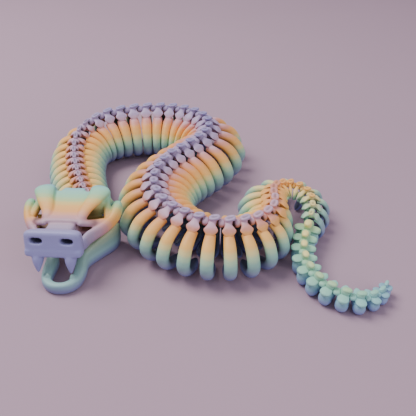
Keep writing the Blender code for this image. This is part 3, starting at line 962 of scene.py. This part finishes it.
# %% From head to world
SKULL_BACK = (-50.58, -23.10)
SKULL_YAW = 7.0
SKULL_ROLL = -3.0
ROLL_HEIGHT = 19.0
JAW_BACK = (-50.38, -23.10)
JAW_YAW = 3.3


def head_forward(yaw):
    return np.array([-math.sin(math.radians(yaw)), -math.cos(math.radians(yaw)), 0.0])


def head_to_world(points, back, yaw, roll=0.0):
    points = np.asarray(points, float)
    turn = math.radians(roll)
    rise = points[:, 2] - ROLL_HEIGHT
    y = points[:, 1] * math.cos(turn) + rise * math.sin(turn)
    z = ROLL_HEIGHT + rise * math.cos(turn) - points[:, 1] * math.sin(turn)
    forward = head_forward(yaw)
    left = np.array([-forward[1], forward[0], 0.0])
    up = np.array([0.0, 0.0, 1.0])
    return np.array([*back, 0.0]) + np.outer(points[:, 0], forward) + np.outer(y, left) + np.outer(z, up)


print("the snout points towards", np.round(head_forward(SKULL_YAW), 2))

# %% [markdown]
# ## Tools for the skull
#
# A printed skull is a few broad forms that flow into one another: a block for the snout, a plate for the
# roof, bars for the arches. We loft each one on its own, let them overlap, and fuse them by a voxel remesh,
# which rounds the inner corners much as the printer's nozzle does. The holes are fused in the same way and
# cut out of the skull afterwards. A last remesh and a light smoothing soften the rims.

# %% Lofts and bars
END_SHRINK = (0.55, 0.86, 1.0)


def skin(rings):
    """Faces between equal rings, with both ends capped."""
    sides = len(rings[0])
    points = [tuple(point) for ring in rings for point in ring]
    faces = tube_faces(len(rings), sides)
    faces.append(tuple(range(sides))[::-1])
    faces.append(tuple(range(len(points) - sides, len(points))))
    return np.array(points), faces


def around(sides, power=2.0):
    """Places round a circle of radius 1, or round a boxier outline for a power above 2."""
    return [rounded(2 * math.pi * side / sides, power) for side in range(sides)]


def block(rows, power=3.2, steps=18, sides=36):
    """A loft across the head through (x, half width, bottom, top)."""
    rings = []
    for x, half, low, high in smooth_rows(rows, steps):
        middle, tall = (low + high) / 2, (high - low) / 2
        rings.append([(x, y * half, middle + z * tall) for y, z in around(sides, power)])
    return skin(rings)


def bar(rows, side=1, steps=22, sides=20, power=2.3):
    """A bar through (x, y, z, half thickness, half height) with rounded ends."""
    rows = smooth_rows(rows, steps) * (1, side, 1, 1, 1)
    tangents = np.gradient(rows[:, :3], axis=0)
    rings = []
    for index, (row, tangent) in enumerate(zip(rows, tangents)):
        shrink = END_SHRINK[min(index, len(rows) - 1 - index, 2)]
        across = np.cross(tangent, (0.0, 0.0, 1.0))
        across /= np.linalg.norm(across)
        up = np.cross(across, tangent)
        up /= np.linalg.norm(up)
        across, up = across * row[3] * shrink, up * row[4] * shrink
        rings.append([row[:3] + a * across + b * up for a, b in around(sides, power)])
    return skin(rings)


def spike(x, y, rows, lean=0.0, steps=14, sides=20):
    """An upright tooth through (z, radius), leaning forward by lean from its root down."""
    rings = []
    rows = smooth_rows(rows, steps)
    for z, radius in rows:
        at = x + lean * (rows[0, 0] - z)
        rings.append([(at + radius * a, y + radius * b, z) for a, b in around(sides)])
    return skin(rings)


print("faces of a short bar:", len(bar([(0, 0, 0, 1, 1), (5, 0, 1, 1, 1)])[1]))

# %% Fuse forms and cut holes
SOFTNESS = 0.5


def body_of(name, shapes, place):
    """One mesh object of several closed shapes, carried to the world by place."""
    return add_object(name, closed_mesh(name, *joined([(place(some), more) for some, more in shapes])))


def settle(obj):
    """Applies an object's modifiers and leaves a plain mesh."""
    mesh = made_by_modifiers(obj)
    obj.modifiers.clear()
    obj.data = mesh


def melt(obj, voxel):
    """Melts all the shapes of an object into one skin."""
    remesh = obj.modifiers.new("melt", "REMESH")
    remesh.mode = "VOXEL"
    remesh.voxel_size = voxel * MM
    settle(obj)


def fuse(name, forms, holes, place, voxel=0.3, rounds=6):
    """Fuses the forms, cuts the holes out and softens the surface a little."""
    made = body_of(name, forms, place)
    melt(made, voxel)
    if holes:
        cutter = body_of(name + "_holes", holes, place)
        melt(cutter, voxel)
        cut = made.modifiers.new("cut", "BOOLEAN")
        cut.operation = "DIFFERENCE"
        cut.solver = "EXACT"
        cut.object = cutter
        settle(made)
        bpy.data.objects.remove(cutter, do_unlink=True)
        melt(made, voxel)
    soften = made.modifiers.new("soften", "SMOOTH")
    soften.factor = SOFTNESS
    soften.iterations = rounds
    settle(made)
    for face in made.data.polygons:
        face.use_smooth = True
    return made


print("skull tools ready")

# %% [markdown]
# ## The skull
#
# The snout is a wide block with a proud lower lip, two deep nostrils and a fang under each corner. Behind
# it a lower bridge runs back to the brow. The roof widens to two crests that flare out at the back, with a
# notch on each side of the middle plate. Below the crests a bar and a cheek arch frame each eye socket, and
# a thin web closes the socket behind.

# %% Forms of the skull
# The forehead drops towards the brow: (x, drop), in full at the top of the skull and nothing at its foot.
FOREHEAD = ((3.0, 0.0), (18.0, 4.3), (24.0, 4.3), (28.0, 2.8), (34.0, 0.9))
FOREHEAD_FOOT, FOREHEAD_TOP = 13.0, 25.0
# The face of the snout slopes back from the lip up.
FACE_FROM, FACE_AT, FACE_LEVEL, FACE_SLOPE = 23.0, 34.0, 13.5, 0.30
FACE_MOST = 1.2
SNOUT = (
    (33.9, 8.8, 15.6, 23.2),
    (33.4, 10.6, 14.6, 24.2),
    (32.2, 11.6, 13.9, 24.8),
    (29.6, 11.6, 13.6, 25.1),
    (28.2, 10.2, 13.6, 25.0),
    (27.2, 6.6, 13.6, 24.7),
    (24.0, 5.8, 13.6, 24.6),
    (20.0, 5.8, 13.8, 24.4),
)
LIP = (
    (34.0, 9.9, 14.1, 16.6),
    (33.4, 11.4, 13.6, 16.9),
    (30.4, 11.8, 13.5, 17.0),
    (27.8, 10.6, 13.6, 16.8),
)
BRAINCASE = ((20.0, 5.8, 14.0, 24.0), (13.0, 6.2, 14.0, 24.2), (5.5, 5.6, 15.0, 24.2))
ROOF = (
    (19.9, 8.4, 23.2, 25.2),
    (18.6, 9.2, 22.8, 25.8),
    (14.0, 10.2, 22.8, 25.3),
    (9.0, 12.4, 22.8, 24.8),
    (4.0, 16.0, 22.8, 24.8),
    (1.2, 15.6, 23.2, 25.2),
)
CREST = (
    (18.6, 6.8, 24.9, 1.8, 1.0),
    (13.0, 8.2, 25.2, 2.6, 1.2),
    (8.0, 10.6, 25.5, 3.6, 1.4),
    (1.6, 13.0, 25.8, 5.0, 1.6),
)
ARCH = (
    (29.0, 9.8, 15.4, 1.4, 3.2),
    (22.0, 10.8, 15.8, 1.5, 4.2),
    (16.5, 15.6, 17.0, 1.7, 3.8),
    (12.0, 18.3, 17.7, 1.9, 3.2),
    (8.0, 19.2, 18.9, 2.2, 3.2),
    (4.2, 19.0, 21.0, 2.1, 1.8),
)
POST_BAR = ((2.6, 14.4, 24.0, 1.5, 1.5), (7.5, 15.2, 20.4, 1.5, 1.8), (13.0, 16.6, 17.8, 1.5, 1.8))
WEB = ((9.4, 5.0, 19.4, 0.8, 4.4), (8.6, 10.0, 20.0, 0.8, 4.2), (6.6, 14.6, 21.0, 0.9, 3.6))
FANG_AT = (31.5, 6.7)
FANG = ((15.0, 2.3), (13.0, 2.5), (11.0, 2.1), (9.0, 1.3), (7.4, 0.55), (7.0, 0.15))
FANG_LEAN = 0.2
NOSTRIL = (6.2, 20.6, 2.6, 1.35)
NOSTRIL_DEPTHS = ((35.6, 1.1), (33.6, 1.05), (32.4, 0.95), (28.6, 0.8))
NOSTRIL_SIDES, NOSTRIL_POWER = 24, 2.6
NOTCH = ((20.0, 1.7), (24.0, 1.7), (30.0, 2.0))
NOTCH_AT = (1.5, 6.3)
SOCKET_RIM = ((19.8, 6.8, 24.4, 1.5, 1.7), (17.2, 11.2, 21.2, 1.5, 1.8), (14.0, 16.6, 18.2, 1.5, 2.2))
SOCKET_FLOOR = ((19.0, 11.0, 14.4, 15.9), (8.4, 16.6, 15.4, 16.9))
BOXY, FLATTISH = 6.0, 3.0
BROW_CREASE = ((20.6, -6.0, 24.6, 0.3, 0.5), (20.8, 0.0, 24.6, 0.3, 0.5), (20.6, 6.0, 24.6, 0.3, 0.5))
SNOUT_CREASE = ((34.2, 0.0, 17.2, 0.25, 0.4), (34.1, 0.0, 20.0, 0.25, 0.4), (33.9, 0.0, 23.0, 0.25, 0.4))
LIP_CREASE = ((28.0, 11.0, 17.6, 0.45, 0.3), (32.0, 11.2, 17.3, 0.45, 0.3), (33.9, 8.6, 17.2, 0.45, 0.3))
CHEEK_GROOVE = ((2.4, 16.8, 20.0, 0.45, 1.6), (4.4, 17.2, 22.2, 0.45, 1.6), (7.0, 17.4, 23.6, 0.45, 1.6))
# the walls of the eye sockets and nostrils, where shade is painted: (least, most, fade) from the back
# forwards, sideways and upwards
SOCKET = ((7.5, 19.0, 2.0), (5.0, 14.4, 1.6), (0.0, 21.5, 2.0))
PIT = ((25.0, 31.6, 1.6), (3.0, 9.2, 0.5), (17.4, 21.6, 0.5))
# how strong the painted shade in the eye sockets and nostrils is
HOLLOW_MARK = 0.8
print("the skull is", SNOUT[0][0], "mm long before its face is sloped")

# %% Carve the skull


def in_skull(points):
    """Drops the forehead towards the brow, slopes the face and carries the points to the world."""
    points = np.array(points, float)
    x, z = points[:, 0].copy(), points[:, 2].copy()
    share = np.clip((z - FOREHEAD_FOOT) / (FOREHEAD_TOP - FOREHEAD_FOOT), 0.0, 1.0)
    points[:, 2] -= share * np.interp(x, *zip(*FOREHEAD))
    near = np.clip((x - FACE_FROM) / (FACE_AT - FACE_FROM), 0.0, FACE_MOST)
    points[:, 0] += FACE_SLOPE * near * (FACE_LEVEL - z)
    return head_to_world(points, SKULL_BACK, SKULL_YAW, SKULL_ROLL)


def nostril(side):
    """A rounded slot that runs back into the snout."""
    y, z, wide, tall = NOSTRIL
    rings = []
    for x, share in NOSTRIL_DEPTHS:
        ring = around(NOSTRIL_SIDES, NOSTRIL_POWER)
        rings.append([(x, side * y + a * wide * share, z + b * tall * share) for a, b in ring])
    return skin(rings)


def slot(rows, side):
    """A narrow slit cut along a short line."""
    return bar(rows, side, steps=8, sides=12)


def skull_forms():
    forms = [block(rows, power=BOXY) for rows in (SNOUT, LIP)]
    forms += [block(BRAINCASE), block(ROOF, power=FLATTISH), block(SOCKET_FLOOR)]
    for side in (1, -1):
        forms += [bar(rows, side) for rows in (CREST, ARCH, POST_BAR, WEB, SOCKET_RIM)]
        forms.append(spike(FANG_AT[0], side * FANG_AT[1], FANG, FANG_LEAN))
    return forms


def skull_holes():
    holes = []
    for side in (1, -1):
        holes.append(nostril(side))
        holes.append(spike(NOTCH_AT[0], side * NOTCH_AT[1], NOTCH))
        holes += [slot(rows, side) for rows in (LIP_CREASE, CHEEK_GROOVE)]
    return holes + [slot(BROW_CREASE, 1), slot(SNOUT_CREASE, 1)]


def within(values, spans):
    """1 inside a box of (least, most, fade) spans, falling to 0 over each fade."""
    share = 1.0
    for value, (least, most, fade) in zip(values, spans):
        share = share * np.clip((value - least) / fade, 0, 1) * np.clip((most - value) / fade, 0, 1)
    return share


def shade_hollows(piece):
    """Marks the walls of the eye sockets and nostrils, which never see light, so that shade is painted there.
    """
    offset = rows_of(piece.data.vertices, "co") / MM - np.array([*SKULL_BACK, 0.0])
    forward = head_forward(SKULL_YAW)
    aside = np.abs(offset @ np.array([-forward[1], forward[0], 0.0]))
    values = (offset @ forward, aside, offset[:, 2])
    inside = np.maximum(within(values, SOCKET), within(values, PIT))
    attribute(piece.data, "inside", "FLOAT", HOLLOW_MARK * inside)


skull = fuse("skull", skull_forms(), skull_holes(), in_skull)
shade_hollows(skull)
print("skull faces:", len(skull.data.polygons))

# %% [markdown]
# ## The lower jaw
#
# The jaw is one bar bent into a long U that lies flat on the floor. Its front is a low wall with two small
# teeth, and its sides rise towards the cheeks.

# %% Forms of the jaw
JAW = (
    (4.2, 16.9, 5.8, 1.3, 5.4),
    (10.5, 16.1, 5.8, 1.5, 5.9),
    (17.0, 11.3, 5.2, 1.8, 5.2),
    (23.5, 6.6, 4.1, 2.3, 4.1),
    (30.5, 6.4, 3.1, 2.3, 3.1),
    (35.0, 5.8, 2.6, 2.0, 2.6),
    (37.8, 3.4, 2.5, 1.7, 2.5),
    (38.8, 0.0, 2.5, 1.5, 2.5),
)
JAW_TOOTH_AT = (35.0, 4.9)
JAW_TOOTH = ((4.0, 1.3), (5.4, 1.1), (6.4, 0.6), (6.7, 0.2))


def in_jaw(points):
    points = np.array(points, float)
    points[:, 2] = np.maximum(points[:, 2], 0.0)
    return head_to_world(points, JAW_BACK, JAW_YAW)


def jaw_forms():
    other = [(x, -y, z, wide, tall) for x, y, z, wide, tall in JAW[-2::-1]]
    forms = [bar(list(JAW) + other, steps=72, power=3.0)]
    forms += [spike(JAW_TOOTH_AT[0], side * JAW_TOOTH_AT[1], JAW_TOOTH) for side in (1, -1)]
    return forms


lower_jaw = fuse("lower_jaw", jaw_forms(), [], in_jaw, voxel=0.25)
print("jaw faces:", len(lower_jaw.data.polygons))

# %% [markdown]
# ## The plastic of the head
#
# The skull was printed standing on its back end, so its bands run from the back of the head to the snout
# instead of from the floor up. The jaw was printed lying down and takes its bands from its height, over a
# shorter range. Both share the layer lines, which follow the same directions.

# %% Materials of the head
SKULL_BANDS = (
    (0.3, (0.230, 0.330, 0.720)),
    (2.0, (0.255, 0.500, 0.560)),
    (3.6, (0.265, 0.570, 0.470)),
    (6.0, (0.300, 0.590, 0.380)),
    (8.0, (0.430, 0.560, 0.270)),
    (9.8, (0.710, 0.510, 0.170)),
    (11.8, (0.820, 0.430, 0.120)),
    (14.0, (0.820, 0.390, 0.120)),
    (15.8, (0.740, 0.350, 0.220)),
    (17.4, (0.590, 0.300, 0.310)),
    (19.4, (0.480, 0.310, 0.390)),
    (22.5, (0.410, 0.320, 0.460)),
    (27.0, (0.320, 0.280, 0.500)),
    (33.0, (0.300, 0.300, 0.590)),
)
# the dip in brightness between 5 and 11.5 mm is partly painted shade from under the cheeks, over the
# filament's own teal and green
JAW_BANDS = (
    (0.0, (0.190, 0.200, 0.440)),
    (1.8, (0.230, 0.250, 0.460)),
    (3.5, (0.260, 0.390, 0.510)),
    (5.0, (0.310, 0.520, 0.520)),
    (7.0, (0.270, 0.440, 0.400)),
    (9.5, (0.330, 0.440, 0.320)),
    (11.5, (0.480, 0.500, 0.300)),
)
HEAD_CLOUD, HEAD_DETAIL, HEAD_WANDER = 0.22, 3.0, 1.2
HEAD_GRAIN = 1.8
HEAD_ROUGHEST, HEAD_STRENGTH, HEAD_DEPTH = 0.56, 0.25, 0.2
# how dark the painted shade in the skull's hollows gets
HEAD_HOLLOW_SHADE = 0.12


def head_plastic(name, table, highest, from_back):
    """Plastic banded by height or, for the skull, by the distance from its back, with painted shade in its
    marked hollows.
    """
    made = Plastic(name)
    place = made.place_mm()
    if from_back:
        offset = made.vectors("SUBTRACT", place, (*SKULL_BACK, 0.0))
        value = made.vectors("DOT_PRODUCT", offset, tuple(head_forward(SKULL_YAW)))
    else:
        value = made.parts(place)[2]
    read_at = made.wandering(value, place, HEAD_CLOUD, HEAD_DETAIL, HEAD_WANDER)
    made.give("Base Color", made.with_painted_shade(made.bands(read_at, table, highest), HEAD_HOLLOW_SHADE))
    grain = made.noise(place, HEAD_GRAIN, HEAD_DETAIL)
    made.roughen(grain, HEAD_ROUGHEST, HEAD_STRENGTH, HEAD_DEPTH, value)
    return made.material


SKULL_PLASTIC = head_plastic("skull_filament", SKULL_BANDS, highest=34.0, from_back=True)
JAW_PLASTIC = head_plastic("jaw_filament", JAW_BANDS, highest=12.0, from_back=False)
print("bands on the skull:", len(SKULL_BANDS), "and on the jaw:", len(JAW_BANDS))

# %% Dress every piece


def dress(piece, finish, slot_name, *nodes):
    """Gives a finished piece its material, hangs it under the root body and hides the solid nodes that it
    stands for.
    """
    piece.data.materials.clear()
    piece.data.materials.append(finish)
    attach(piece, "root")
    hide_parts(*nodes)


dress(skull, SKULL_PLASTIC, "skull", "skull")
dress(lower_jaw, JAW_PLASTIC, "jaw", "lower_jaw")
for region, first, last in REGIONS:
    nodes = [f"link_{number:02d}" for number in range(first, last + 1)]
    dress(ribs[region], BANDED, "links", *nodes)
    dress(vertebrae[region], BANDED, "links", *nodes)
dress(tail, TAIL_PLASTIC, "tail", "tail_length_01", "tail_length_02", "tail_length_03")
for helper in (VERTEBRA, NECK_VERTEBRA, TAIL_MOULD):
    bpy.data.objects.remove(helper, do_unlink=True)

# %% [markdown]
# ## Floor and light
#
# A plain mauve floor and soft light keep the eye on the model. A large lamp high on the left gives the round
# forms their shading, a weaker one on the right keeps the shadows open, and a pale sky fills the rest.

# %% Floor and lamps
FLOOR_REACH = 6.0
FLOOR_DROP = 0.1
FLOOR_COLOURS = ((0.38, 0.262, 0.34, 1.0), (0.42, 0.295, 0.375, 1.0))
FLOOR_CLOUD, FLOOR_DETAIL = 3.0, 2.0
FLOOR_GLOSS, FLOOR_ROUGHNESS = 0.1, 0.9
# name, place in metres, size, power, colour
LAMPS = (
    ("key_lamp", (-0.45, 0.15, 0.75), 0.5, 9.0, (1.0, 0.97, 0.94)),
    ("fill_lamp", (0.6, -0.5, 0.5), 0.7, 3.0, (0.92, 0.94, 1.0)),
)
SKY_COLOUR, SKY_STRENGTH = (0.90, 0.88, 0.95, 1.0), 0.55


def floor():
    mesh = bpy.data.meshes.new("floor")
    corners = [(x * FLOOR_REACH, y * FLOOR_REACH, 0) for x, y in ((-1, -1), (1, -1), (1, 1), (-1, 1))]
    mesh.from_pydata(corners, [], [(0, 1, 2, 3)])
    made = add_object("floor", mesh)
    made.location.z = -FLOOR_DROP * MM
    finish = Plastic("pale_floor", FLOOR_GLOSS)
    cloud = finish.noise(finish.own_place(), FLOOR_CLOUD, FLOOR_DETAIL)
    dark, light = FLOOR_COLOURS
    mixed = finish.put("ShaderNodeMix", {"data_type": "RGBA"}, Factor=cloud, _6=dark, _7=light)
    finish.give("Base Color", mixed.node.outputs[2])
    finish.give("Roughness", FLOOR_ROUGHNESS)
    mesh.materials.append(finish.material)


def lamp(name, at, size, power, colour):
    data = bpy.data.lights.new(name, "AREA")
    data.shape = "SQUARE"
    data.size = size
    data.energy = power
    data.color = colour
    made = bpy.data.objects.new(name, data)
    made.location = at
    made.rotation_euler = (-made.location).to_track_quat("-Z", "Y").to_euler()
    bpy.context.scene.collection.objects.link(made)


def sky():
    world = bpy.data.worlds.new("sky")
    world.use_nodes = True
    shade = world.node_tree.nodes["Background"]
    shade.inputs[0].default_value = SKY_COLOUR
    shade.inputs[1].default_value = SKY_STRENGTH
    bpy.context.scene.world = world


floor()
for row in LAMPS:
    lamp(*row)
sky()
print("stage is set")
